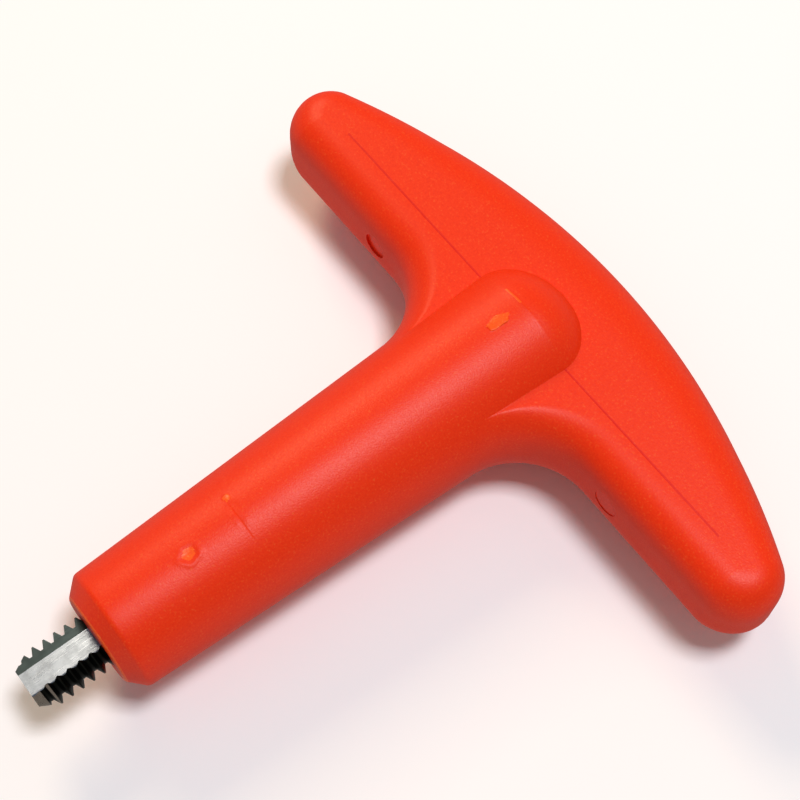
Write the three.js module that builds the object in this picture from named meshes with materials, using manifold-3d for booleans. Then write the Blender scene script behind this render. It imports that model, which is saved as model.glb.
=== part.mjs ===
// T-handle thread tap: a steel hand tap with its shank moulded into a plastic T-shaped handle.
//
// The tool lies on its back: +X runs along the wings, +Y along the tap's axis towards the palm,
// +Z up out of the flat front face. Both pieces are built in tool coordinates, with the origin
// where the tap's axis crosses the mould's parting plane, and the exported group moves them so
// that the origin is under the middle of the object's box. Millimetres.

import * as THREE from 'three';
import { mergeVertices } from 'three/addons/utils/BufferGeometryUtils.js';
import Module from 'manifold-3d';

const wasm = await Module();
wasm.setup();

// ---- driving dimensions ----

// Tap: 1/4-20 UNC, with a standard hand tap's lengths, shank and square.
const THREAD_RADIUS = 3.175;
const PITCH = 1.27;
const THREAD_DEPTH = 0.613 * PITCH;
const CREST_FLAT = PITCH / 8;
const ROOT_FLAT = PITCH / 4;
const TAP_LENGTH = 63.5;
const THREAD_LENGTH = 25.4;
const TAP_TIP_RADIUS = 2.1;
const LEAD_LENGTH = 2.1;
const SHANK_RADIUS = 3.24;
const SQUARE_SIDE = 4.85;
const SQUARE_LENGTH = 7.94;
const THREAD_PHASE = 0.1;
const THREAD_STEPS_PER_TURN = 20;

// Two flutes, each with a radial back wall, a sloping floor and a hooked cutting face.
const FLUTE_TURNS = [0, Math.PI];
const FLUTE_WALL_ANGLE = THREE.MathUtils.degToRad(160);
const FLUTE_RUNOUT = 2;

// Handle moulding.
const BARREL_RADIUS = 9.05;
const BARREL_DRAFT = 0.0417;
const NOSE_Y = -55.2;
const NOSE_FACE_RADIUS = 5;
const NOSE_CHAMFER = 1.8;
const DOME_LENGTH = 7.3;
const WING_HALF_THICKNESS = 5.58;
const UNDERSIDE_Y = -4.68;
const PALM_Y = 13.65;
const PALM_ARC_RADIUS = 76.8;
const TIP_RADIUS = 4.72;

// The armpit's radius where the edge rounding starts, and how fast it grows across the rounding.
const ARMPIT_RADIUS = 8.8;
const ARMPIT_WIDENING = 0.33;

// How far the wings' edge rounding reaches in from their outline. Its section is a superellipse,
// which leaves the flat face more gently than a circle does.
const PALM_MIDDLE_EDGE = 7;
const PALM_END_EDGE = 3.65;
const TIP_EDGE_EXTRA = 0.65;
const UNDERSIDE_EDGE = 3.9;
const ARMPIT_END_EDGE = 3.4;
const EDGE_EXPONENT = 2.25;
const MID_BAND = 0.05;

const EJECTOR_MARK_X = 20;
const EJECTOR_MARK_RADIUS = 1.6;
const LEFT_MARK_DEPTH = 0.25;
const RIGHT_MARK_DEPTH = 0.08;

// The moulding keeps this clear of the tap that it grips, and a rib of it fills each flute.
const CLEARANCE = 0.3;
const TAP_EXPOSED = 8.2;
const RIB_SHIFT = [0.62, CLEARANCE];

// How finely round shapes are divided.
const BARREL_SEGMENTS = 64;
const BORE_SEGMENTS = 40;
const DOME_STEPS = 8;
const PALM_STEPS = 14;
const TIP_STEPS = 14;
const ARMPIT_STEPS = 8;
const EDGE_STEPS = 6;

// ---- values worked out from them ----

const TIP_Y = NOSE_Y - TAP_EXPOSED;
const THREAD_END_Y = TIP_Y + THREAD_LENGTH;
const TAP_END_Y = TIP_Y + TAP_LENGTH;
const SQUARE_START_Y = TAP_END_Y - SQUARE_LENGTH;
const FLUTE_END_Y = THREAD_END_Y + FLUTE_RUNOUT;
const ROOT_RADIUS = THREAD_RADIUS - THREAD_DEPTH;

// The tips' circles touch the palm's arc from inside, which places them.
const PALM_CENTRE_Y = PALM_Y - PALM_ARC_RADIUS;
const TIP_X = Math.sqrt((PALM_ARC_RADIUS - TIP_RADIUS) ** 2 - PALM_CENTRE_Y ** 2);
const PALM_ARC_ANGLE = Math.atan2(TIP_X, -PALM_CENTRE_Y);

const barrelRadiusAt = (y) => BARREL_RADIUS + BARREL_DRAFT * Math.min(y, 0);
const fractions = (steps) => Array.from({ length: steps + 1 }, (_, i) => i / steps);
const mix = THREE.MathUtils.lerp;

// ---- solids ----

function toManifold(geometry) {
  const bare = geometry.clone();
  bare.deleteAttribute('normal');
  bare.deleteAttribute('uv');
  const merged = mergeVertices(bare, 1e-4);
  return new wasm.Manifold(new wasm.Mesh({
    numProp: 3,
    vertProperties: new Float32Array(merged.attributes.position.array),
    triVerts: new Uint32Array(merged.index.array),
  }));
}

function toGeometry(solid) {
  const mesh = solid.getMesh();
  const indexed = new THREE.BufferGeometry();
  indexed.setAttribute('position', new THREE.BufferAttribute(mesh.vertProperties, 3));
  indexed.setIndex(new THREE.BufferAttribute(mesh.triVerts, 1));
  const geometry = indexed.toNonIndexed();
  geometry.computeVertexNormals();
  return geometry;
}

function indexedSolid(positions, indices) {
  const geometry = new THREE.BufferGeometry();
  geometry.setAttribute('position', new THREE.Float32BufferAttribute(positions, 3));
  geometry.setIndex(indices);
  return toManifold(geometry);
}

// A solid of revolution about the tap's axis, from [radius, y] points that start and end on it.
function revolve(profile, segments, startAngle = 0) {
  const points = profile.map(([radius, y]) => new THREE.Vector2(radius, y));
  return toManifold(new THREE.LatheGeometry(points, segments, startAngle));
}

// A plain cylinder about the tap's axis.
function rod(radius, startY, endY, segments) {
  return revolve([[0, startY], [radius, startY], [radius, endY], [0, endY]], segments);
}

// A square bar about the tap's axis.
function squareBar(side, startY, endY) {
  const geometry = new THREE.BoxGeometry(side, endY - startY, side);
  geometry.translate(0, (startY + endY) / 2, 0);
  return toManifold(geometry);
}

// ---- tap ----

// One turn of the thread from root to root, as [radius, height in the turn].
const THREAD_FLANK = (PITCH - CREST_FLAT - ROOT_FLAT) / 2;
const THREAD_PROFILE = [
  [ROOT_RADIUS, 0],
  [ROOT_RADIUS, ROOT_FLAT],
  [THREAD_RADIUS, ROOT_FLAT + THREAD_FLANK],
  [THREAD_RADIUS, ROOT_FLAT + THREAD_FLANK + CREST_FLAT],
];

// A right-hand threaded rod, at least two turns longer than startY to endY asks, closed by a
// cone of triangles at each end. Row k is the profile at the k-th step of the helix, and it
// ends on the first point of the row one turn further on.
function threadedRod(startY, endY) {
  const perTurn = THREAD_STEPS_PER_TURN;
  const firstY = startY - 2 * PITCH;
  const steps = (Math.ceil((endY - firstY) / PITCH) + 1) * perTurn;
  const positions = [];
  const indices = [];
  const addVertex = (radius, angle, y) => {
    positions.push(radius * Math.cos(angle), y, radius * Math.sin(angle));
    return positions.length / 3 - 1;
  };
  const rows = [];
  for (let k = 0; k <= steps + perTurn; k += 1) {
    const angle = (-2 * Math.PI * k) / perTurn;
    const rowY = firstY + (PITCH * k) / perTurn;
    const profile = k <= steps ? THREAD_PROFILE : THREAD_PROFILE.slice(0, 1);
    rows.push(profile.map(([radius, height]) => addVertex(radius, angle, rowY + height)));
  }
  const rowOf = (k) => [...rows[k], rows[k + perTurn][0]];
  for (let k = 0; k < steps; k += 1) {
    const here = rowOf(k);
    const next = rowOf(k + 1);
    for (let m = 0; m < THREAD_PROFILE.length; m += 1) {
      indices.push(here[m], next[m], here[m + 1]);
      indices.push(here[m + 1], next[m], next[m + 1]);
    }
  }
  const rimAt = (k) => [
    ...rows.slice(k, k + perTurn).map((row) => row[0]),
    ...rowOf(k).slice(1).reverse(),
  ];
  const closeEnd = (rim, centre, flip) => rim.forEach((vertex, i) => {
    const after = rim[(i + 1) % rim.length];
    indices.push(centre, flip ? after : vertex, flip ? vertex : after);
  });
  closeEnd(rimAt(0), addVertex(0, 0, firstY - PITCH), true);
  closeEnd(rimAt(steps), addVertex(0, 0, firstY + (steps / perTurn + 2) * PITCH), false);
  return indexedSolid(positions, indices);
}

// The space that one flute clears. Its outline is drawn with u along the back wall's radius and
// v square to it; shift moves the outline away from the steel.
function flutePrism(turn, startY, endY, shift) {
  const [du, dv] = shift;
  const outside = THREAD_RADIUS + 2;
  const outline = new THREE.Shape();
  outline.moveTo(outside + du, dv);
  outline.lineTo(1.6 + du, dv);
  outline.lineTo(-0.85 + du, 1.93 + dv);
  outline.quadraticCurveTo(-1.55 + du, 2.43 + dv, -0.6 + du, 3.12 + dv);
  outline.lineTo(-0.3 + du, outside + dv);
  outline.lineTo(outside + du, outside + dv);
  outline.closePath();
  const geometry = new THREE.ExtrudeGeometry(outline, {
    depth: endY - startY,
    bevelEnabled: false,
    curveSegments: 6,
  });
  geometry.rotateX(Math.PI / 2);
  geometry.rotateY(-FLUTE_WALL_ANGLE - turn);
  geometry.translate(0, endY, 0);
  return toManifold(geometry);
}

function makeTap() {
  const envelope = revolve([
    [0, TIP_Y],
    [TAP_TIP_RADIUS, TIP_Y],
    [SHANK_RADIUS, TIP_Y + LEAD_LENGTH],
    [SHANK_RADIUS, THREAD_END_Y],
    [0, THREAD_END_Y],
  ], BORE_SEGMENTS);
  const shank = revolve([
    [0, THREAD_END_Y - PITCH],
    [ROOT_RADIUS, THREAD_END_Y - PITCH],
    [SHANK_RADIUS, THREAD_END_Y],
    [SHANK_RADIUS, SQUARE_START_Y],
    [0, SQUARE_START_Y],
  ], BORE_SEGMENTS);
  const tail = squareBar(SQUARE_SIDE, SQUARE_START_Y - 1, TAP_END_Y)
    .intersect(rod(SHANK_RADIUS, SQUARE_START_Y - 1, TAP_END_Y, BORE_SEGMENTS));
  const thread = threadedRod(TIP_Y - THREAD_PHASE, THREAD_END_Y).intersect(envelope);
  return FLUTE_TURNS.reduce(
    (tap, turn) => tap.subtract(flutePrism(turn, TIP_Y - 1, FLUTE_END_Y, [0, 0])),
    thread.add(shank).add(tail),
  );
}

// ---- handle moulding ----

// The stations round one half of the wings' outline, from the palm's middle to the armpit.
// Each gives its edge rounding and its [x, y] at a given inset and height above the mid-plane.
function halfWingStations() {
  const palm = fractions(PALM_STEPS).slice(0, -1).map((part) => ({
    edge: mix(PALM_MIDDLE_EDGE, PALM_END_EDGE, part ** 2),
    place: (inset) => {
      const angle = part * PALM_ARC_ANGLE;
      const radius = PALM_ARC_RADIUS - inset;
      return [radius * Math.sin(angle), PALM_CENTRE_Y + radius * Math.cos(angle)];
    },
  }));
  const tip = fractions(TIP_STEPS).map((part) => ({
    edge: mix(PALM_END_EDGE, UNDERSIDE_EDGE, part) + TIP_EDGE_EXTRA * Math.sin(Math.PI * part ** 2),
    place: (inset) => {
      const angle = PALM_ARC_ANGLE + part * (Math.PI - PALM_ARC_ANGLE);
      const radius = TIP_RADIUS - inset;
      return [TIP_X + radius * Math.sin(angle), radius * Math.cos(angle)];
    },
  }));
  // The armpit's arc touches the underside and the barrel's flank at every height.
  const armpit = fractions(ARMPIT_STEPS).map((part) => ({
    edge: mix(UNDERSIDE_EDGE, ARMPIT_END_EDGE, THREE.MathUtils.smoothstep(part, 0, 1)),
    place: (inset, height) => {
      const radius = ARMPIT_RADIUS + ARMPIT_WIDENING * inset;
      const centreY = UNDERSIDE_Y + inset - radius;
      const flankX = Math.sqrt(barrelRadiusAt(centreY) ** 2 - height ** 2);
      const centreX = flankX + radius - CLEARANCE * part;
      const angle = (part * Math.PI) / 2;
      return [centreX - radius * Math.sin(angle), centreY + radius * Math.cos(angle)];
    },
  }));
  return [...palm, ...tip, ...armpit];
}

// One ring of [x, y, z] points round both wings. roll runs from 0, at the start of the edge
// rounding, to a quarter turn, on the flat face; side is 1 for the front and -1 for the back.
function wingRing(stations, roll, side, onMidPlane) {
  const half = stations.map(({ edge, place }) => {
    const drop = Math.min(edge, WING_HALF_THICKNESS - MID_BAND);
    const inset = edge * (1 - Math.cos(roll) ** (2 / EDGE_EXPONENT));
    const level = WING_HALF_THICKNESS - drop * (1 - Math.sin(roll) ** (2 / EDGE_EXPONENT));
    const height = onMidPlane ? 0 : level;
    const [x, y] = place(inset, height);
    return [x, y, side * height];
  });
  const mirrored = half.slice(1).reverse().map(([x, y, z]) => [-x, y, z]);
  return [...half, ...mirrored];
}

function makeWings() {
  const stations = halfWingStations();
  const rolls = fractions(EDGE_STEPS).map((part) => (part * Math.PI) / 2);
  const rings = [
    ...rolls.slice().reverse().map((roll) => wingRing(stations, roll, -1, false)),
    wingRing(stations, 0, 1, true),
    ...rolls.map((roll) => wingRing(stations, roll, 1, false)),
  ];
  const count = rings[0].length;
  const indices = [];
  for (let ring = 0; ring + 1 < rings.length; ring += 1) {
    for (let i = 0; i < count; i += 1) {
      const j = (i + 1) % count;
      const [a, b] = [ring * count + i, ring * count + j];
      indices.push(a, a + count, b);
      indices.push(b, a + count, b + count);
    }
  }
  const lastRing = (rings.length - 1) * count;
  const outline = rings[0].map(([x, y]) => new THREE.Vector2(x, y));
  for (const [a, b, c] of THREE.ShapeUtils.triangulateShape(outline, [])) {
    indices.push(a, c, b);
    indices.push(lastRing + a, lastRing + b, lastRing + c);
  }
  return indexedSolid(rings.flat(2), indices);
}

// The barrel: flat nose, chamfer, drafted cone and a domed end inside the palm. Its facets touch
// the true circle, and one of them faces straight down, so that the tool can lie still on it.
function makeBarrel() {
  const dome = fractions(DOME_STEPS).slice(0, -1).map((part) => {
    const angle = (part * Math.PI) / 2;
    return [BARREL_RADIUS * Math.cos(angle), DOME_LENGTH * Math.sin(angle)];
  });
  const profile = [
    [0, NOSE_Y],
    [NOSE_FACE_RADIUS, NOSE_Y],
    [barrelRadiusAt(NOSE_Y + NOSE_CHAMFER), NOSE_Y + NOSE_CHAMFER],
    ...dome,
    [0, DOME_LENGTH],
  ];
  const halfFacet = Math.PI / BARREL_SEGMENTS;
  const outer = profile.map(([radius, y]) => [radius / Math.cos(halfFacet), y]);
  return revolve(outer, BARREL_SEGMENTS, halfFacet);
}

// The hollow that holds the tap, open at the nose, with a rib left standing in each flute.
function makeTapCavity() {
  const bore = rod(THREAD_RADIUS + CLEARANCE, NOSE_Y - 1, THREAD_END_Y, BORE_SEGMENTS);
  const shankBore = rod(
    SHANK_RADIUS + CLEARANCE,
    THREAD_END_Y - 1,
    SQUARE_START_Y + CLEARANCE,
    BORE_SEGMENTS,
  );
  const pocket = squareBar(SQUARE_SIDE + 2 * CLEARANCE, SQUARE_START_Y - 1, TAP_END_Y + CLEARANCE)
    .intersect(rod(SHANK_RADIUS + CLEARANCE, SQUARE_START_Y - 1, TAP_END_Y + 1, BORE_SEGMENTS));
  return FLUTE_TURNS.reduce(
    (cavity, turn) => cavity.subtract(flutePrism(turn, NOSE_Y, FLUTE_END_Y - CLEARANCE, RIB_SHIFT)),
    bore.add(shankBore).add(pocket),
  );
}

// A shallow round mark left by an ejector pin in one wing's underside.
function makeEjectorMark(x, depth) {
  const outsideY = UNDERSIDE_Y - 1;
  return rod(EJECTOR_MARK_RADIUS, outsideY, UNDERSIDE_Y + depth, BORE_SEGMENTS).translate([x, 0, 0]);
}

function makeHandleMoulding() {
  return makeWings()
    .add(makeBarrel())
    .subtract(makeTapCavity())
    .subtract(makeEjectorMark(-EJECTOR_MARK_X, LEFT_MARK_DEPTH))
    .subtract(makeEjectorMark(EJECTOR_MARK_X, RIGHT_MARK_DEPTH));
}

// ---- assembly ----

const orangeRedPlastic = new THREE.MeshStandardMaterial({ color: 0xee4226, roughness: 0.5 });
const tapSteel = new THREE.MeshStandardMaterial({ color: 0x8f8f8a, roughness: 0.35, metalness: 0.9 });

function namedMesh(name, solid, material) {
  const mesh = new THREE.Mesh(toGeometry(solid), material);
  mesh.name = name;
  return mesh;
}

const tool = new THREE.Group();
tool.add(namedMesh('handle_moulding', makeHandleMoulding(), orangeRedPlastic));
tool.add(namedMesh('tap', makeTap(), tapSteel));
tool.position.set(0, -(TIP_Y + PALM_Y) / 2, BARREL_RADIUS);

export default tool;
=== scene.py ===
"""T-handle thread tap: a fluted steel tap moulded into an orange-red plastic T-handle.

Both pieces are built in tool coordinates, in millimetres: the origin is where the tap's axis
crosses the mould's parting plane, +X runs along the wings, +Y along the axis towards the palm
and +Z out of the flat front face. place_piece() then moves them into the frame, in metres.
"""

import math

import bmesh
import bpy
from mathutils import Matrix, Quaternion, Vector


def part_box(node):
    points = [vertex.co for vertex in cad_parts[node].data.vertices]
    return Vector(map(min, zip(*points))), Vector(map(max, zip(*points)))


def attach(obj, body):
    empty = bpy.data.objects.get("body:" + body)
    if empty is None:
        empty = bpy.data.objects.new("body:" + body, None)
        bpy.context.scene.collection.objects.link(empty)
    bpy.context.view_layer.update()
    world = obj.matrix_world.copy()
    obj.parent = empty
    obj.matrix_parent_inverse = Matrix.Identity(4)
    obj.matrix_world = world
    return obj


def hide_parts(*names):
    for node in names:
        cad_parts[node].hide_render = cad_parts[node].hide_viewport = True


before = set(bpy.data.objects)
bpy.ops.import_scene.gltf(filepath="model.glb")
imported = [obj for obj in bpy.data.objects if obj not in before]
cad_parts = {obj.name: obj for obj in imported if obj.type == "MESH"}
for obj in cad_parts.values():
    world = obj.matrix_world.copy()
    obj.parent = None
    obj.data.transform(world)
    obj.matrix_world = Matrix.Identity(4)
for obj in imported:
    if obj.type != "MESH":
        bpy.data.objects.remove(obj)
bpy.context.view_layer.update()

MM = 0.001

# ---- sizes that the frame gives, in millimetres ----

handle_low, handle_high = (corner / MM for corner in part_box("handle_moulding"))
tap_low, tap_high = (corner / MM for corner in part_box("tap"))

# How far the palm stands behind the mould's parting plane places the tool's origin in the frame.
PALM_Y = 13.65
ORIGIN = Vector((0.0, handle_high.y - PALM_Y, (handle_low.z + handle_high.z) / 2))
TOOL_TO_FRAME = Matrix.Scale(MM, 4) @ Matrix.Translation(ORIGIN)

BARREL_RADIUS = (handle_high.z - handle_low.z) / 2
NOSE_Y = handle_low.y - ORIGIN.y
TIP_Y = tap_low.y - ORIGIN.y
TAP_END_Y = tap_high.y - ORIGIN.y
SHANK_RADIUS = (tap_high.x - tap_low.x) / 2

# ---- handle sizes ----

BARREL_DRAFT = 0.0417
NOSE_FACE_RADIUS = 5.0
NOSE_CHAMFER = 1.8
NOSE_EDGE_EASE = 0.35
DOME_LENGTH = 7.3
WING_HALF_THICKNESS = 5.58
UNDERSIDE_Y = -4.68
PALM_ARC_RADIUS = 76.8
TIP_RADIUS = 4.72
ARMPIT_RADIUS = 8.8
ARMPIT_WIDENING = 0.33

# How far the wings' edge rounding reaches in from their outline. Its section is a superellipse,
# which leaves the flat face more gently than a circle does.
PALM_MIDDLE_EDGE = 7.0
PALM_END_EDGE = 3.65
TIP_EDGE_EXTRA = 0.65
UNDERSIDE_EDGE = 3.9
ARMPIT_END_EDGE = 3.4
EDGE_EXPONENT = 2.25
MID_BAND = 0.05

PALM_CENTRE_Y = PALM_Y - PALM_ARC_RADIUS
TIP_X = math.sqrt((PALM_ARC_RADIUS - TIP_RADIUS) ** 2 - PALM_CENTRE_Y ** 2)
PALM_ARC_ANGLE = math.atan2(TIP_X, -PALM_CENTRE_Y)

# Ejector-pin marks in the wings' undersides.
MARK_X = 20.0
MARK_RADIUS = 1.6
MARK_DEPTHS = {-MARK_X: 0.25, MARK_X: 0.08}

# Lines that the mould's joints leave: where its halves meet, and where two barrel inserts do.
# The groove on the wings fades over PARTING_FADE and ends at PARTING_END_X.
LINE_HALF_WIDTH = 0.12
PARTING_GROOVE = 0.04
PARTING_FADE = 12.0
PARTING_END_X = 31.0
PARTING_STEPS = 18
PARTING_RIDGE = 0.04

# Where the ridge on the barrel starts and ends, and its torn flash, in degrees from the front.
RIDGE_START, RIDGE_END = -22, 45
FLASH_START, FLASH_END = -19, -4

# The ring round the barrel, and the degrees round which it shows most.
RING_Y = -37.4
RING_DEPTH = 0.03
RING_MIDDLE, RING_HALF_SPAN = 8, 30

# ---- tap sizes: 1/4-20 UNC ----

THREAD_RADIUS = 3.175
PITCH = 1.27
THREAD_DEPTH = 0.613 * PITCH
ROOT_RADIUS = THREAD_RADIUS - THREAD_DEPTH
CREST_FLAT = PITCH / 8
ROOT_FLAT = PITCH / 4
THREAD_PHASE = 0.1
THREAD_LENGTH = 25.4
THREAD_END_Y = TIP_Y + THREAD_LENGTH
THREAD_RUNOUT_STEP = 0.1
LEAD_LENGTH = 2.1
TAP_TIP_RADIUS = 2.1
SQUARE_SIDE = 4.85
SQUARE_LENGTH = 7.94
SQUARE_START_Y = TAP_END_Y - SQUARE_LENGTH

# Two flutes. In a flute's outline u runs along its back wall's radius and v square to it.
FLUTE_TURNS = (0.0, math.pi)
FLUTE_WALL_ANGLE = math.radians(160)
FLUTE_WALL_FOOT = (1.6, 0.0)
FLUTE_FLOOR_CORNER = (-1.03, 1.85)
FLUTE_FLOOR_EASE = 0.35
FLUTE_HOOK = (-0.6, 3.12)
FLUTE_HOOK_END_U = -0.3
FLUTE_OUTSIDE = THREAD_RADIUS + 2.0
FLUTE_RUNOUT = 2.0
FLUTE_END_Y = THREAD_END_Y + FLUTE_RUNOUT

# The moulded-on plastic is a hair clear of the steel, so that no two faces coincide.
MOULD_GAP = 0.02

# The shader's specular level for plastic; its default is 0.5.
PLASTIC_SPECULAR = 0.24

TOOL_MARK_DEPTH = 0.004

# ---- marks on the barrel, as (angle from the front towards +X, y) ----

PIP = (math.radians(5), -43.5)
SPOT = (math.radians(-15.5), -37.1)
SCUFF = (math.radians(7), RING_Y)
FLAKE = (math.radians(-2.5), -3.3)

# The skin is refined this far round a mark, save for faces that are already smaller than this.
RELIEF_REACH = 2.4
RELIEF_CUTS = 7
FINE_AREA = 0.05

# The handle's material slots.
PLASTIC_SLOT = 0
PARTING_SLOT = 1
TORN_AND_HIGHLIGHT_SLOT = 2

# Points closer than this fall together.
TOUCH = 0.001

# ---- how finely the round shapes are divided ----

PALM_STEPS = 40
TIP_STEPS = 28
UNDERSIDE_STEPS = 16
ARMPIT_STEPS = 16
BAND_STEPS = 3
ROLL_STEPS = 12
BARREL_STEPS = 26
BARREL_ROW_SPACING = 1.0
DOME_STEPS = 16
LATHE_SEGMENTS = 96
THREAD_STEPS_PER_TURN = 48

# ---- camera and the point that the lights shine on, in tool coordinates ----

CAMERA_PLACE = (57.3, -62.5, 155.9)
CAMERA_TARGET = (-2.8, -14.35, 0)
CAMERA_ROLL = math.radians(1.07)
CAMERA_SENSOR = 36.0
CAMERA_LENS = 72.1
LIGHT_TARGET = (0, -20, 0)


# ---- mesh helpers ----

def spread(low, high, count):
    """count + 1 evenly spaced numbers from low to high."""
    return [low + (high - low) * i / count for i in range(count + 1)]


def add_grid(mesh, rows):
    """Quads between neighbouring rows of points."""
    grid = [[mesh.verts.new(point) for point in row] for row in rows]
    for low, high in zip(grid, grid[1:]):
        for a, b, c, d in zip(low, low[1:], high[1:], high):
            mesh.faces.new((a, b, c, d))


def close_up(mesh):
    """Joins points that fall together, and turns every face outwards."""
    bmesh.ops.remove_doubles(mesh, verts=mesh.verts, dist=1e-4)
    bmesh.ops.recalc_face_normals(mesh, faces=mesh.faces)


def to_object(mesh, name, *materials):
    data = bpy.data.meshes.new(name)
    mesh.to_mesh(data)
    mesh.free()
    for material in materials:
        data.materials.append(material)
    piece = bpy.data.objects.new(name, data)
    bpy.context.scene.collection.objects.link(piece)
    return piece


def combine(piece, operation, cutter):
    """Adds, cuts or intersects one solid with another, and takes the cutter's materials along."""
    modifier = piece.modifiers.new(operation, "BOOLEAN")
    modifier.operation = operation
    modifier.object = cutter
    modifier.solver = "MANIFOLD"
    modifier.material_mode = "TRANSFER"
    settled = piece.evaluated_get(bpy.context.evaluated_depsgraph_get())
    data = bpy.data.meshes.new_from_object(settled)
    mesh = bmesh.new()
    mesh.from_mesh(data)
    bmesh.ops.remove_doubles(mesh, verts=mesh.verts, dist=TOUCH)
    bmesh.ops.dissolve_degenerate(mesh, edges=mesh.edges, dist=TOUCH)
    mesh.to_mesh(data)
    mesh.free()
    piece.modifiers.clear()
    piece.data = data
    bpy.data.objects.remove(cutter)


def lathe(name, profile, material):
    """A solid of revolution about the tap's axis, from (radius, y) points that end on it."""
    mesh = bmesh.new()
    angles = spread(0, 2 * math.pi, LATHE_SEGMENTS)
    add_grid(mesh, [[(r * math.sin(a), y, r * math.cos(a)) for a in angles] for r, y in profile])
    close_up(mesh)
    return to_object(mesh, name, material)


def rod(name, radius, start_y, end_y, material):
    return lathe(name, [(0, start_y), (radius, start_y), (radius, end_y), (0, end_y)], material)


def square_tail(name, side, radius, start_y, end_y, material):
    """A square bar about the tap's axis, with its corners turned down to a radius."""
    mesh = bmesh.new()
    bmesh.ops.create_cube(mesh, size=1)
    bmesh.ops.scale(mesh, verts=mesh.verts, vec=(side, end_y - start_y, side))
    bmesh.ops.translate(mesh, verts=mesh.verts, vec=(0, (start_y + end_y) / 2, 0))
    tail = to_object(mesh, name, material)
    combine(tail, "INTERSECT", rod("turned", radius, start_y - 1, end_y + 1, material))
    return tail


def eased_corner(before, corner, after, ease, steps=4):
    """A corner of an outline, rounded off by a curve that starts and ends ease away from it."""
    before, corner, after = Vector(before), Vector(corner), Vector(after)
    start = corner + (before - corner).normalized() * ease
    end = corner + (after - corner).normalized() * ease
    return [tuple(start.lerp(corner, t).lerp(corner.lerp(end, t), t)) for t in spread(0, 1, steps)]


def mix(low, high, part):
    return low + (high - low) * part


def eased(part):
    """Runs from 0 to 1 with no kink at either end."""
    part = min(1.0, max(0.0, part))
    return part * part * (3 - 2 * part)


def place_piece(piece, node, sharp_angle):
    """Moves a finished piece into the frame and says what it stands for."""
    piece.data.transform(TOOL_TO_FRAME)
    piece.data.shade_smooth()
    piece.data.set_sharp_from_angle(angle=sharp_angle)
    even = piece.modifiers.new("even_normals", "WEIGHTED_NORMAL")
    even.keep_sharp = True
    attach(piece, "root")
    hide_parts(node)


# ---- handle moulding ----

def barrel_radius(y):
    """The barrel tapers towards the nose and ends in a dome on the palm side."""
    if y <= 0:
        return BARREL_RADIUS + BARREL_DRAFT * y
    return BARREL_RADIUS * math.sqrt(max(0.0, 1 - (y / DOME_LENGTH) ** 2))


def palm_station(part):
    def place(inset, height):
        radius = PALM_ARC_RADIUS - inset
        angle = part * PALM_ARC_ANGLE
        return radius * math.sin(angle), PALM_CENTRE_Y + radius * math.cos(angle)
    return mix(PALM_MIDDLE_EDGE, PALM_END_EDGE, part ** 2), place


def tip_station(part):
    def place(inset, height):
        radius = TIP_RADIUS - inset
        angle = PALM_ARC_ANGLE + part * (math.pi - PALM_ARC_ANGLE)
        return TIP_X + radius * math.sin(angle), radius * math.cos(angle)
    edge = mix(PALM_END_EDGE, UNDERSIDE_EDGE, part) + TIP_EDGE_EXTRA * math.sin(math.pi * part ** 2)
    return edge, place


def armpit_station(part):
    """The armpit's arc touches the underside and the barrel's flank at every height."""
    def place(inset, height):
        radius = ARMPIT_RADIUS + ARMPIT_WIDENING * inset
        centre_y = UNDERSIDE_Y + inset - radius
        centre_x = math.sqrt(barrel_radius(centre_y) ** 2 - height ** 2) + radius
        angle = part * math.pi / 2
        return centre_x - radius * math.sin(angle), centre_y + radius * math.cos(angle)
    return mix(UNDERSIDE_EDGE, ARMPIT_END_EDGE, eased(part)), place


def underside_station(part):
    """Between the tip's end and the armpit's start the outline is straight."""
    tip_end = tip_station(1)[1]
    armpit_start = armpit_station(0)[1]

    def place(inset, height):
        start = Vector(tip_end(inset, height))
        return tuple(start.lerp(Vector(armpit_start(inset, height)), part))
    return UNDERSIDE_EDGE, place


def edge_levels(edge):
    """(inset, height) from the middle of the wing's edge to its flat face."""
    drop = min(edge, WING_HALF_THICKNESS - MID_BAND)
    band_top = WING_HALF_THICKNESS - drop
    levels = [(0.0, band_top * i / BAND_STEPS) for i in range(BAND_STEPS)]
    for roll in spread(0, math.pi / 2, ROLL_STEPS):
        inset = edge * (1 - max(0.0, math.cos(roll)) ** (2 / EDGE_EXPONENT))
        levels.append((inset, band_top + drop * math.sin(roll) ** (2 / EDGE_EXPONENT)))
    return levels


def wing_columns():
    """Columns of points up the wing's edge, from the palm's middle round the tip to the armpit."""
    stations = [palm_station(t) for t in spread(0, 1, PALM_STEPS)[:-1]]
    stations += [tip_station(t) for t in spread(0, 1, TIP_STEPS)[:-1]]
    stations += [underside_station(t) for t in spread(0, 1, UNDERSIDE_STEPS)[:-1]]
    stations += [armpit_station(t) for t in spread(0, 1, ARMPIT_STEPS)]
    return [
        [(*place(inset, height), height) for inset, height in edge_levels(edge)]
        for edge, place in stations
    ]


def barrel_row(y, radius, angles):
    return [(radius * math.sin(a), y, radius * math.cos(a)) for a in angles]


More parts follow.
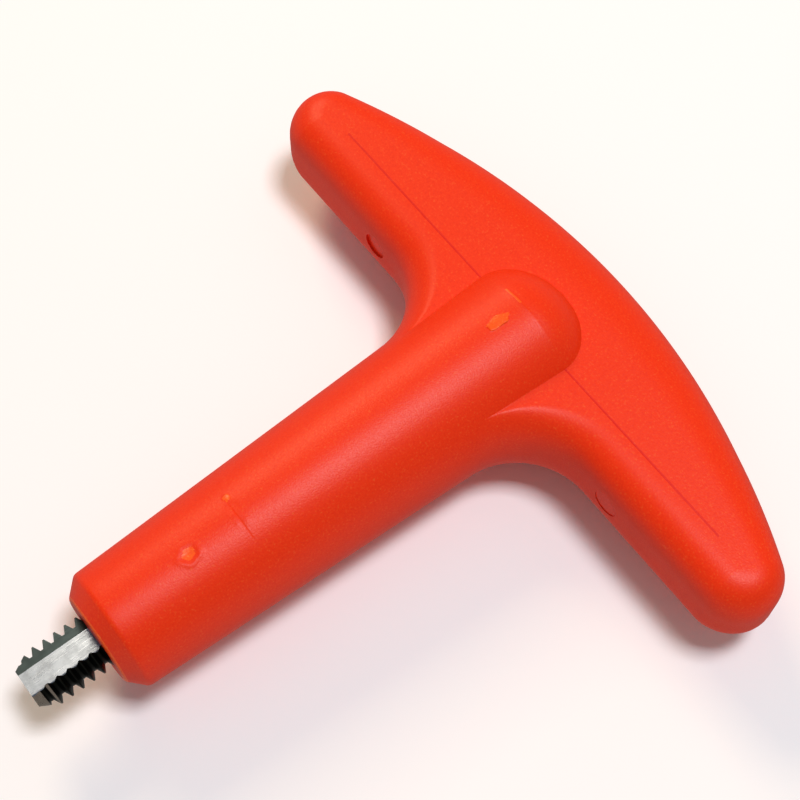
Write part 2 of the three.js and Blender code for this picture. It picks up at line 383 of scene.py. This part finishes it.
def make_handle_quarter():
    """The grids and the flat face of the quarter where x and z are positive."""
    columns = wing_columns()
    armpit_end = columns[-1]
    low_y = armpit_end[0][1]
    band_angles = [math.acos(z / barrel_radius(low_y)) for _, _, z in armpit_end[:BAND_STEPS + 1]]
    upper_angle = band_angles[-1]

    # The barrel from the nose up to the armpit is a full solid of revolution.
    cone_start = (barrel_radius(NOSE_Y + NOSE_CHAMFER), NOSE_Y + NOSE_CHAMFER)
    nose_rim = (NOSE_FACE_RADIUS, NOSE_Y)
    profile = [(0.0, NOSE_Y)]
    profile += eased_corner((0, NOSE_Y), nose_rim, cone_start, NOSE_EDGE_EASE)
    profile += eased_corner(nose_rim, cone_start, (barrel_radius(low_y), low_y), NOSE_EDGE_EASE)
    row_count = round((low_y - profile[-1][1]) / BARREL_ROW_SPACING)
    profile += [(barrel_radius(y), y) for y in spread(profile[-1][1], low_y, row_count)[1:]]
    upper_angles = spread(0, upper_angle, BARREL_STEPS)
    round_rows = [barrel_row(y, r, upper_angles) for r, y in profile]
    flank_rows = [barrel_row(y, r, band_angles[::-1]) for r, y in profile]

    # Beyond it, each row ends on the armpit's edge and then on the flat face.
    crease_start = armpit_end[-1][1]
    crease_rows = round(-crease_start / BARREL_ROW_SPACING)
    dome_end = math.acos(WING_HALF_THICKNESS / BARREL_RADIUS)
    upper = [(y, z) for _, y, z in armpit_end[BAND_STEPS:]]
    upper += [(y, WING_HALF_THICKNESS) for y in spread(crease_start, 0, crease_rows)[1:]]
    upper += [
        (DOME_LENGTH * math.sin(a), WING_HALF_THICKNESS) for a in spread(0, dome_end, DOME_STEPS)[1:]
    ]
    upper_rows = []
    for y, height in upper:
        radius = barrel_radius(y)
        end_angle = math.acos(min(1.0, height / radius))
        upper_rows.append(barrel_row(y, radius, spread(0, end_angle, BARREL_STEPS)))

    crease = [row[-1] for row in upper_rows[ROLL_STEPS:]]
    flat_face = crease[::-1] + [column[-1] for column in columns[::-1]][1:]
    return [columns, round_rows, flank_rows, upper_rows], flat_face


def make_handle_body():
    grids, flat_face = make_handle_quarter()
    mesh = bmesh.new()
    for side in (1, -1):
        for front in (1, -1):
            for rows in grids:
                add_grid(mesh, [[(side * x, y, front * z) for x, y, z in row] for row in rows])
            mesh.faces.new([mesh.verts.new((side * x, y, front * z)) for x, y, z in flat_face])
    close_up(mesh)
    for x in spread(-PARTING_END_X, PARTING_END_X, PARTING_STEPS):
        slice_through(mesh, (x, 0, 0), (1, 0, 0))
    score_line(mesh, 0, parting_rise)
    score_line(mesh, RING_Y, ring_rise)
    for face in mesh.faces:
        if all(abs(corner.co.y) < LINE_HALF_WIDTH + TOUCH for corner in face.verts):
            face.material_index = parting_slot(face.calc_center_median())
        # The nose rim's paler orange is partly flash and partly a painted highlight.
        if on_nose_rim(face):
            face.material_index = TORN_AND_HIGHLIGHT_SLOT
    add_relief(mesh, PIP, pip_rise)
    add_relief(mesh, SPOT, spot_rise)
    add_relief(mesh, SCUFF, scuff_rise)
    add_relief(mesh, FLAKE, flake_rise)
    return mesh


# ---- marks that moulding leaves on the handle ----

def front_turn(point):
    """How many degrees a point lies round the barrel, from the front towards +X."""
    return math.degrees(math.atan2(point.x, point.z))


def on_wing(point):
    return abs(point.x) > BARREL_RADIUS or abs(point.z) < WING_HALF_THICKNESS + TOUCH


def parting_rise(point):
    """The parting line is a groove on the wings, and a ridge that fades out over the barrel."""
    if on_wing(point):
        return -PARTING_GROOVE * eased((PARTING_END_X - abs(point.x)) / PARTING_FADE)
    turn = front_turn(point)
    rise_from_left = eased((turn - RIDGE_START) / 5)
    lower_on_right = mix(1.0, 0.3, eased(turn / 8))
    fall_to_right = eased((RIDGE_END - turn) / 10)
    return PARTING_RIDGE * rise_from_left * lower_on_right * fall_to_right


def parting_slot(point):
    """The ridge's highest stretch is torn flash; the wings' groove takes a darker red, painted shade in
    the groove.
    """
    if on_wing(point):
        return PARTING_SLOT if abs(point.x) < PARTING_END_X else PLASTIC_SLOT
    return TORN_AND_HIGHLIGHT_SLOT if FLASH_START < front_turn(point) < FLASH_END else PLASTIC_SLOT


def on_nose_rim(face):
    """The eased rim round the nose's flat end takes the paler torn plastic: partly a hair of flash,
    partly a painted highlight along the rim.
    """
    points = [corner.co for corner in face.verts]
    inner_radius = min(math.hypot(point.x, point.z) for point in points)
    highest_y = max(point.y for point in points)
    ease = NOSE_EDGE_EASE + TOUCH
    return inner_radius > NOSE_FACE_RADIUS - ease and highest_y < NOSE_Y + ease


def ring_rise(point):
    """The ring is deepest across the front of the barrel."""
    from_middle = abs(front_turn(point) - RING_MIDDLE)
    return -RING_DEPTH * mix(0.15, 1.0, eased((RING_HALF_SPAN - from_middle) / 20))


def slice_through(mesh, place, direction):
    """Divides every face that a plane crosses; the plane is square to direction."""
    everything = mesh.verts[:] + mesh.edges[:] + mesh.faces[:]
    bmesh.ops.bisect_plane(mesh, geom=everything, plane_co=place, plane_no=direction, dist=TOUCH)


def score_line(mesh, y, rise):
    """Cuts a line round the handle at the given y, and lifts its middle by rise(point)."""
    for offset in (-LINE_HALF_WIDTH, 0, LINE_HALF_WIDTH):
        slice_through(mesh, (0, y + offset, 0), (0, 1, 0))
    mesh.normal_update()
    middle = [vertex for vertex in mesh.verts if abs(vertex.co.y - y) < TOUCH]
    moves = [vertex.normal * rise(vertex.co) for vertex in middle]
    for vertex, move in zip(middle, moves):
        vertex.co += move


def pip_rise(across, along):
    """A round dish with a low lip, where a sprue was snapped off; its paler centre is torn plastic and
    also a painted reflection of the warm lamp.
    """
    dish_radius, dish_depth = 1.1, 0.1
    lip_radius, lip_width, lip_height = 1.15, 0.3, 0.06
    pale_centre_radius = 0.65
    bearing = math.atan2(along, across)
    distance = math.hypot(across, along) * (1 + 0.08 * math.sin(2 * bearing + 1))
    distance *= 1 + 0.06 * math.sin(5 * bearing)
    dish = max(0.0, 1 - (distance / dish_radius) ** 2) ** 2
    lip = math.exp(-((distance - lip_radius) / lip_width) ** 2) * mix(0.4, 1.0, eased(across + 0.5))
    return lip_height * lip - dish_depth * dish, distance < pale_centre_radius


def spot_rise(across, along):
    """A pinhead of plastic, with a shallow sink beside it."""
    bead_radius, bead_height = 0.42, 0.08
    sink_radius, sink_depth = 0.7, 0.05
    bead = eased(1.4 - math.hypot(across, along) / bead_radius)
    sink = eased(1.4 - math.hypot(across - 1.3, along + 0.2) / sink_radius)
    return bead_height * bead - sink_depth * sink, bead > 0.4


def scuff_rise(across, along):
    """Two worn swellings, one on each side of the ring."""
    palm_side_height, nose_side_height = 0.05, 0.035
    palm_side = math.exp(-(((across - 0.3) / 0.55) ** 2 + ((along - 0.55) / 0.35) ** 2))
    nose_side = math.exp(-(((across + 0.1) / 0.6) ** 2 + ((along + 0.45) / 0.25) ** 2))
    return palm_side_height * palm_side + nose_side_height * nose_side, False


def flake_rise(across, along):
    """A torn flake, where the gate was cut off."""
    half_width, half_length, height = 0.62, 1.5, 0.1
    wide = (across - 0.12 * along) / half_width
    long = along / half_length
    bearing = math.atan2(wide, long)
    reach = math.hypot(wide, long)
    reach *= 1 + 0.16 * math.sin(2 * bearing + 0.6) + 0.1 * math.sin(5 * bearing)
    flake = eased((1.1 - reach) / 0.25)
    return height * flake * (1 + 0.3 * math.sin(3.5 * along)), flake > 0.4


def add_relief(mesh, place, rise):
    """Refines the barrel's skin round a place, an (angle, y), and lifts it by rise(across, along).

    Where rise also answers yes, the skin is the paler torn plastic; in the pip that paler colour is also
    a painted reflection.
    """
    angle, y = place
    radius = barrel_radius(y)
    centre = Vector((radius * math.sin(angle), y, radius * math.cos(angle)))
    near = [face for face in mesh.faces if (face.calc_center_median() - centre).length < RELIEF_REACH]
    edges = list({edge for face in near if face.calc_area() > FINE_AREA for edge in face.edges})
    bmesh.ops.subdivide_edges(mesh, edges=edges, cuts=RELIEF_CUTS, use_grid_fill=True)

    def offset(point):
        return (math.atan2(point.x, point.z) - angle) * radius, point.y - y

    for vertex in mesh.verts:
        if (vertex.co - centre).length < RELIEF_REACH:
            height, _ = rise(*offset(vertex.co))
            lifted = math.hypot(vertex.co.x, vertex.co.z) + height
            turn = math.atan2(vertex.co.x, vertex.co.z)
            vertex.co.x = lifted * math.sin(turn)
            vertex.co.z = lifted * math.cos(turn)
    for face in mesh.faces:
        middle = face.calc_center_median()
        if (middle - centre).length < RELIEF_REACH and rise(*offset(middle))[1]:
            face.material_index = TORN_AND_HIGHLIGHT_SLOT


# ---- what the moulding is cut by ----

def flute_cutter(turn, start_y, end_y, gap, wall_material, floor_material):
    """The space that one flute clears: a radial back wall, a sloping floor and a hooked face."""
    outline = [(FLUTE_OUTSIDE, 0), FLUTE_WALL_FOOT]
    outline += eased_corner(FLUTE_WALL_FOOT, FLUTE_FLOOR_CORNER, FLUTE_HOOK, FLUTE_FLOOR_EASE)
    outline += [FLUTE_HOOK, (FLUTE_HOOK_END_U, FLUTE_OUTSIDE), (FLUTE_OUTSIDE, FLUTE_OUTSIDE)]
    wall = FLUTE_WALL_ANGLE + turn
    shift = Vector((2 * gap, gap))
    mesh = bmesh.new()
    ends = []
    for y in (start_y, end_y):
        ring = []
        for u, v in (Vector(point) + shift for point in outline):
            x = math.cos(wall) * u + math.sin(wall) * v
            z = math.sin(wall) * u - math.cos(wall) * v
            ring.append(mesh.verts.new((x, y, z)))
        mesh.faces.new(ring)
        ends.append(ring)
    near, far = ends
    for i, corner in enumerate(near):
        after = (i + 1) % len(near)
        side = mesh.faces.new((corner, near[after], far[after], far[i]))
        side.material_index = 0 if i == 0 else 1
    bmesh.ops.recalc_face_normals(mesh, faces=mesh.faces)
    return to_object(mesh, "flute", wall_material, floor_material)


def make_tap_cavity(material):
    """The hollow that the tap fills, with the plastic ribs that lie in its flutes left out."""
    radius = SHANK_RADIUS + MOULD_GAP
    cavity = rod("cavity", THREAD_RADIUS + MOULD_GAP, NOSE_Y - 1, THREAD_END_Y, material)
    for turn in FLUTE_TURNS:
        rib = flute_cutter(turn, NOSE_Y - 2, FLUTE_END_Y, MOULD_GAP, material, material)
        combine(cavity, "DIFFERENCE", rib)
    shank = rod("shank_bore", radius, THREAD_END_Y - 1, SQUARE_START_Y + MOULD_GAP, material)
    combine(cavity, "UNION", shank)
    side = SQUARE_SIDE + 2 * MOULD_GAP
    pocket = square_tail("pocket", side, radius, SQUARE_START_Y - 1, TAP_END_Y + MOULD_GAP, material)
    combine(cavity, "UNION", pocket)
    return cavity


def make_handle(plastic, parting_line_shade, torn_plastic_and_highlight, polished):
    handle = to_object(make_handle_body(), "moulded_handle", plastic, parting_line_shade, torn_plastic_and_highlight)
    for x, depth in MARK_DEPTHS.items():
        mark = rod("mark", MARK_RADIUS, UNDERSIDE_Y - 1, UNDERSIDE_Y + depth, polished)
        mark.data.transform(Matrix.Translation((x, 0, 0)))
        combine(handle, "DIFFERENCE", mark)
    combine(handle, "DIFFERENCE", make_tap_cavity(plastic))
    place_piece(handle, "handle_moulding", math.radians(20))
    return handle


# ---- tap ----

def threaded_rod(material):
    """A right-hand threaded rod, longer than the thread at both ends, where a cone closes it.

    Row k is the thread's profile at the k-th step of the helix, and it ends on the first point
    of the row one turn further on.
    """
    flank = (PITCH - CREST_FLAT - ROOT_FLAT) / 2
    profile = [
        (ROOT_RADIUS, 0),
        (ROOT_RADIUS, ROOT_FLAT),
        (THREAD_RADIUS, ROOT_FLAT + flank),
        (THREAD_RADIUS, ROOT_FLAT + flank + CREST_FLAT),
    ]
    first_y = TIP_Y - THREAD_PHASE - 2 * PITCH
    turns = math.ceil((THREAD_END_Y - first_y) / PITCH) + 1
    per_turn = THREAD_STEPS_PER_TURN
    steps = turns * per_turn
    mesh = bmesh.new()
    rows = []
    for k in range(steps + per_turn + 1):
        angle = -2 * math.pi * k / per_turn
        row_y = first_y + PITCH * k / per_turn
        points = profile if k <= steps else profile[:1]
        row = [mesh.verts.new((r * math.cos(angle), row_y + y, r * math.sin(angle))) for r, y in points]
        rows.append(row)
    whole = [rows[k] + [rows[k + per_turn][0]] for k in range(steps + 1)]
    for here, after in zip(whole, whole[1:]):
        for a, b, c, d in zip(here, here[1:], after[1:], after):
            mesh.faces.new((a, b, c, d))
    for k, end_y in ((0, first_y - PITCH), (steps, first_y + (turns + 2) * PITCH)):
        centre = mesh.verts.new((0, end_y, 0))
        rim = [row[0] for row in rows[k:k + per_turn]] + whole[k][:0:-1]
        for i, corner in enumerate(rim):
            mesh.faces.new((centre, corner, rim[(i + 1) % len(rim)]))
    bmesh.ops.recalc_face_normals(mesh, faces=mesh.faces)
    return to_object(mesh, "threading_tap", material)


def make_tap(oxide, wall, ground, lead):
    tap = threaded_rod(oxide)
    envelope = lathe("envelope", [
        (0, TIP_Y),
        (TAP_TIP_RADIUS, TIP_Y),
        (SHANK_RADIUS, TIP_Y + LEAD_LENGTH),
        (SHANK_RADIUS, THREAD_END_Y),
        (0, THREAD_END_Y),
    ], lead)
    combine(tap, "INTERSECT", envelope)
    shank = lathe("shank", [
        (0, THREAD_END_Y - PITCH),
        (ROOT_RADIUS - THREAD_RUNOUT_STEP, THREAD_END_Y - PITCH),
        (SHANK_RADIUS, THREAD_END_Y - THREAD_RUNOUT_STEP),
        (SHANK_RADIUS, SQUARE_START_Y),
        (0, SQUARE_START_Y),
    ], oxide)
    combine(tap, "UNION", shank)
    tail = square_tail("tail", SQUARE_SIDE, SHANK_RADIUS, SQUARE_START_Y - 1, TAP_END_Y, oxide)
    combine(tap, "UNION", tail)
    for turn in FLUTE_TURNS:
        # Each flute's back wall takes the painted-shade steel, its floor and hook the painted-highlight
        # steel.
        combine(tap, "DIFFERENCE", flute_cutter(turn, TIP_Y - 1, FLUTE_END_Y, 0, wall, ground))
    place_piece(tap, "tap", math.radians(20))
    return tap


# ---- materials ----

def start_material(name):
    """A new material's node tree, its shader, and the places that its patterns are laid out by."""
    material = bpy.data.materials.new(name)
    material.use_nodes = True
    tree = material.node_tree
    place = tree.nodes.new("ShaderNodeTexCoord").outputs["Object"]
    return material, tree, tree.nodes["Principled BSDF"], place


def noise(tree, place, size, detail=2.0):
    """Noise whose blobs measure about size millimetres along x, y and z."""
    scaled = tree.nodes.new("ShaderNodeMapping")
    scaled.inputs["Scale"].default_value = [1 / (length * MM) for length in size]
    tree.links.new(place, scaled.inputs["Vector"])
    pattern = tree.nodes.new("ShaderNodeTexNoise")
    pattern.inputs["Scale"].default_value = 1.0
    pattern.inputs["Detail"].default_value = detail
    tree.links.new(scaled.outputs["Vector"], pattern.inputs["Vector"])
    return pattern.outputs["Fac"]


def remap(tree, value, low, high, new_low, new_high):
    node = tree.nodes.new("ShaderNodeMapRange")
    limits = {"From Min": low, "From Max": high, "To Min": new_low, "To Max": new_high}
    for name, number in limits.items():
        node.inputs[name].default_value = number
    tree.links.new(value, node.inputs["Value"])
    return node.outputs["Result"]


def colour_ramp(tree, value, stops):
    """Colours by value: stops are (value, colour) pairs."""
    node = tree.nodes.new("ShaderNodeValToRGB")
    while len(node.color_ramp.elements) < len(stops):
        node.color_ramp.elements.new(1.0)
    for element, (position, colour) in zip(node.color_ramp.elements, stops):
        element.position = position
        element.color = (*colour, 1)
    tree.links.new(value, node.inputs["Fac"])
    return node.outputs["Color"]


def add_bump(tree, shader, height, depth):
    """Roughens a surface by height, a pattern from 0 to 1, that stands depth millimetres high."""
    node = tree.nodes.new("ShaderNodeBump")
    node.inputs["Distance"].default_value = depth * MM
    tree.links.new(height, node.inputs["Height"])
    tree.links.new(node.outputs["Normal"], shader.inputs["Normal"])


def moulded_plastic(name, colour, roughness, grain_depth):
    """Plastic from a spark-eroded mould: fine grain, faint mottling and a few pale specks."""
    material, tree, shader, place = start_material(name)
    grain = noise(tree, place, (0.16, 0.16, 0.16), detail=3.0)
    add_bump(tree, shader, grain, grain_depth)
    mottle = noise(tree, place, (0.22, 0.22, 0.22), detail=3.0)
    red, green, blue = colour
    deep = (red * 0.94, green * 0.8, blue)
    speck = (red, green * 1.8 + 0.012, blue * 3 + 0.006)
    stops = [(0.3, deep), (0.5, colour), (0.58, colour), (0.72, speck)]
    tree.links.new(colour_ramp(tree, mottle, stops), shader.inputs["Base Color"])
    smoothness = remap(tree, grain, 0.3, 0.7, roughness - 0.05, roughness + 0.06)
    tree.links.new(smoothness, shader.inputs["Roughness"])
    shader.inputs["Specular IOR Level"].default_value = PLASTIC_SPECULAR
    return material


def worked_steel(name, colour, roughness, lay):
    """Bare or blackened steel whose tool marks run in a lay, the blob size of their pattern."""
    material, tree, shader, place = start_material(name)
    marks = noise(tree, place, lay, detail=3.0)
    add_bump(tree, shader, marks, TOOL_MARK_DEPTH)
    stain = noise(tree, place, (1.1, 1.1, 1.1))
    dull = [channel * 0.72 for channel in colour]
    tree.links.new(colour_ramp(tree, stain, [(0.3, dull), (0.6, colour)]), shader.inputs["Base Color"])
    smoothness = remap(tree, marks, 0.3, 0.7, roughness - 0.06, roughness + 0.1)
    tree.links.new(smoothness, shader.inputs["Roughness"])
    shader.inputs["Metallic"].default_value = 1.0
    return material


def make_floor_material():
    material, _, shader, _ = start_material("pale_floor")
    shader.inputs["Base Color"].default_value = (0.95, 0.97, 0.99, 1)
    shader.inputs["Roughness"].default_value = 0.9
    return material


# ---- stage ----

def make_floor():
    mesh = bmesh.new()
    bmesh.ops.create_grid(mesh, x_segments=1, y_segments=1, size=1.5)
    floor = to_object(mesh, "floor", make_floor_material())
    floor.location.z = -0.0002
    # The plastic and the steel reflect the soft room instead of the floor.
    floor.visible_glossy = False


def in_frame(point):
    """A point given in tool millimetres, in the frame's metres."""
    return TOOL_TO_FRAME @ Vector(point)


def make_camera():
    data = bpy.data.cameras.new("camera")
    data.sensor_width = CAMERA_SENSOR
    data.lens = CAMERA_LENS
    data.clip_start = 0.005
    camera = bpy.data.objects.new("camera", data)
    bpy.context.scene.collection.objects.link(camera)
    position = in_frame(CAMERA_PLACE)
    target = in_frame(CAMERA_TARGET)
    camera.location = position
    camera.rotation_mode = "QUATERNION"
    level = (target - position).to_track_quat("-Z", "Y")
    camera.rotation_quaternion = level @ Quaternion((0, 0, 1), CAMERA_ROLL)
    bpy.context.scene.camera = camera


def make_area_light(name, direction, distance, size, power, colour):
    """A square light that shines on LIGHT_TARGET from a direction; its sizes are in metres."""
    data = bpy.data.lights.new(name, "AREA")
    data.size = size
    data.energy = power
    data.color = colour
    light = bpy.data.objects.new(name, data)
    bpy.context.scene.collection.objects.link(light)
    target = in_frame(LIGHT_TARGET)
    light.location = target + Vector(direction).normalized() * distance
    light.rotation_euler = (target - light.location).to_track_quat("-Z", "Y").to_euler()


def make_light():
    scene = bpy.context.scene
    scene.view_settings.view_transform = "Standard"
    world = bpy.data.worlds.new("soft_room")
    world.use_nodes = True
    background = world.node_tree.nodes["Background"]
    background.inputs["Color"].default_value = (1, 0.96, 0.92, 1)
    background.inputs["Strength"].default_value = 0.25
    scene.world = world
    make_area_light(
        "warm_side_light", (-0.76, 0.17, 0.63),
        distance=0.7, size=0.25, power=2.0, colour=(1.0, 0.76, 0.48),
    )
    make_area_light(
        "overhead_light", (0.155, 0.15, 0.98),
        distance=0.7, size=0.16, power=3.05, colour=(1.0, 0.97, 1.0),
    )


plastic = moulded_plastic("orange_red_plastic", (0.85, 0.034, 0.002), roughness=0.4, grain_depth=0.022)
# A darker red for the parting line's groove on the wings: painted shade in the groove.
parting_line_shade = moulded_plastic("parting_line_painted_shade", (0.72, 0.014, 0.002), roughness=0.5, grain_depth=0.006)
# Paler torn plastic for flash, flake and spot; on the nose rim it is also a painted highlight, in the
# pip also a painted reflection.
torn_plastic_and_highlight = moulded_plastic("torn_plastic_and_painted_highlight", (0.95, 0.1, 0.01), roughness=0.3, grain_depth=0.006)
polished = moulded_plastic("polished_plastic", (0.85, 0.034, 0.006), roughness=0.22, grain_depth=0.003)

blasted_lay = (0.3, 0.3, 0.3)
lengthwise_lay = (0.1, 2.0, 0.1)
turned_lay = (0.4, 0.06, 0.4)
oxide = worked_steel("black_oxide_steel", (0.016, 0.017, 0.014), roughness=0.4, lay=blasted_lay)
# The flutes' back walls and floors are one ground steel, in shaded and lit copies: the walls near black
# as painted shade, the floors bright as a painted reflection of the light from above, tinted blue so
# that the warm lamp reads neutral in it.
wall = worked_steel("ground_steel_painted_shade", (0.034, 0.042, 0.036), roughness=0.35, lay=lengthwise_lay)
ground = worked_steel("ground_steel_painted_highlight", (0.26, 0.33, 0.47), roughness=0.3, lay=lengthwise_lay)
lead = worked_steel("lead_steel", (0.5, 0.43, 0.36), roughness=0.3, lay=turned_lay)

make_handle(plastic, parting_line_shade, torn_plastic_and_highlight, polished)
make_tap(oxide, wall, ground, lead)
make_floor()
make_camera()
make_light()
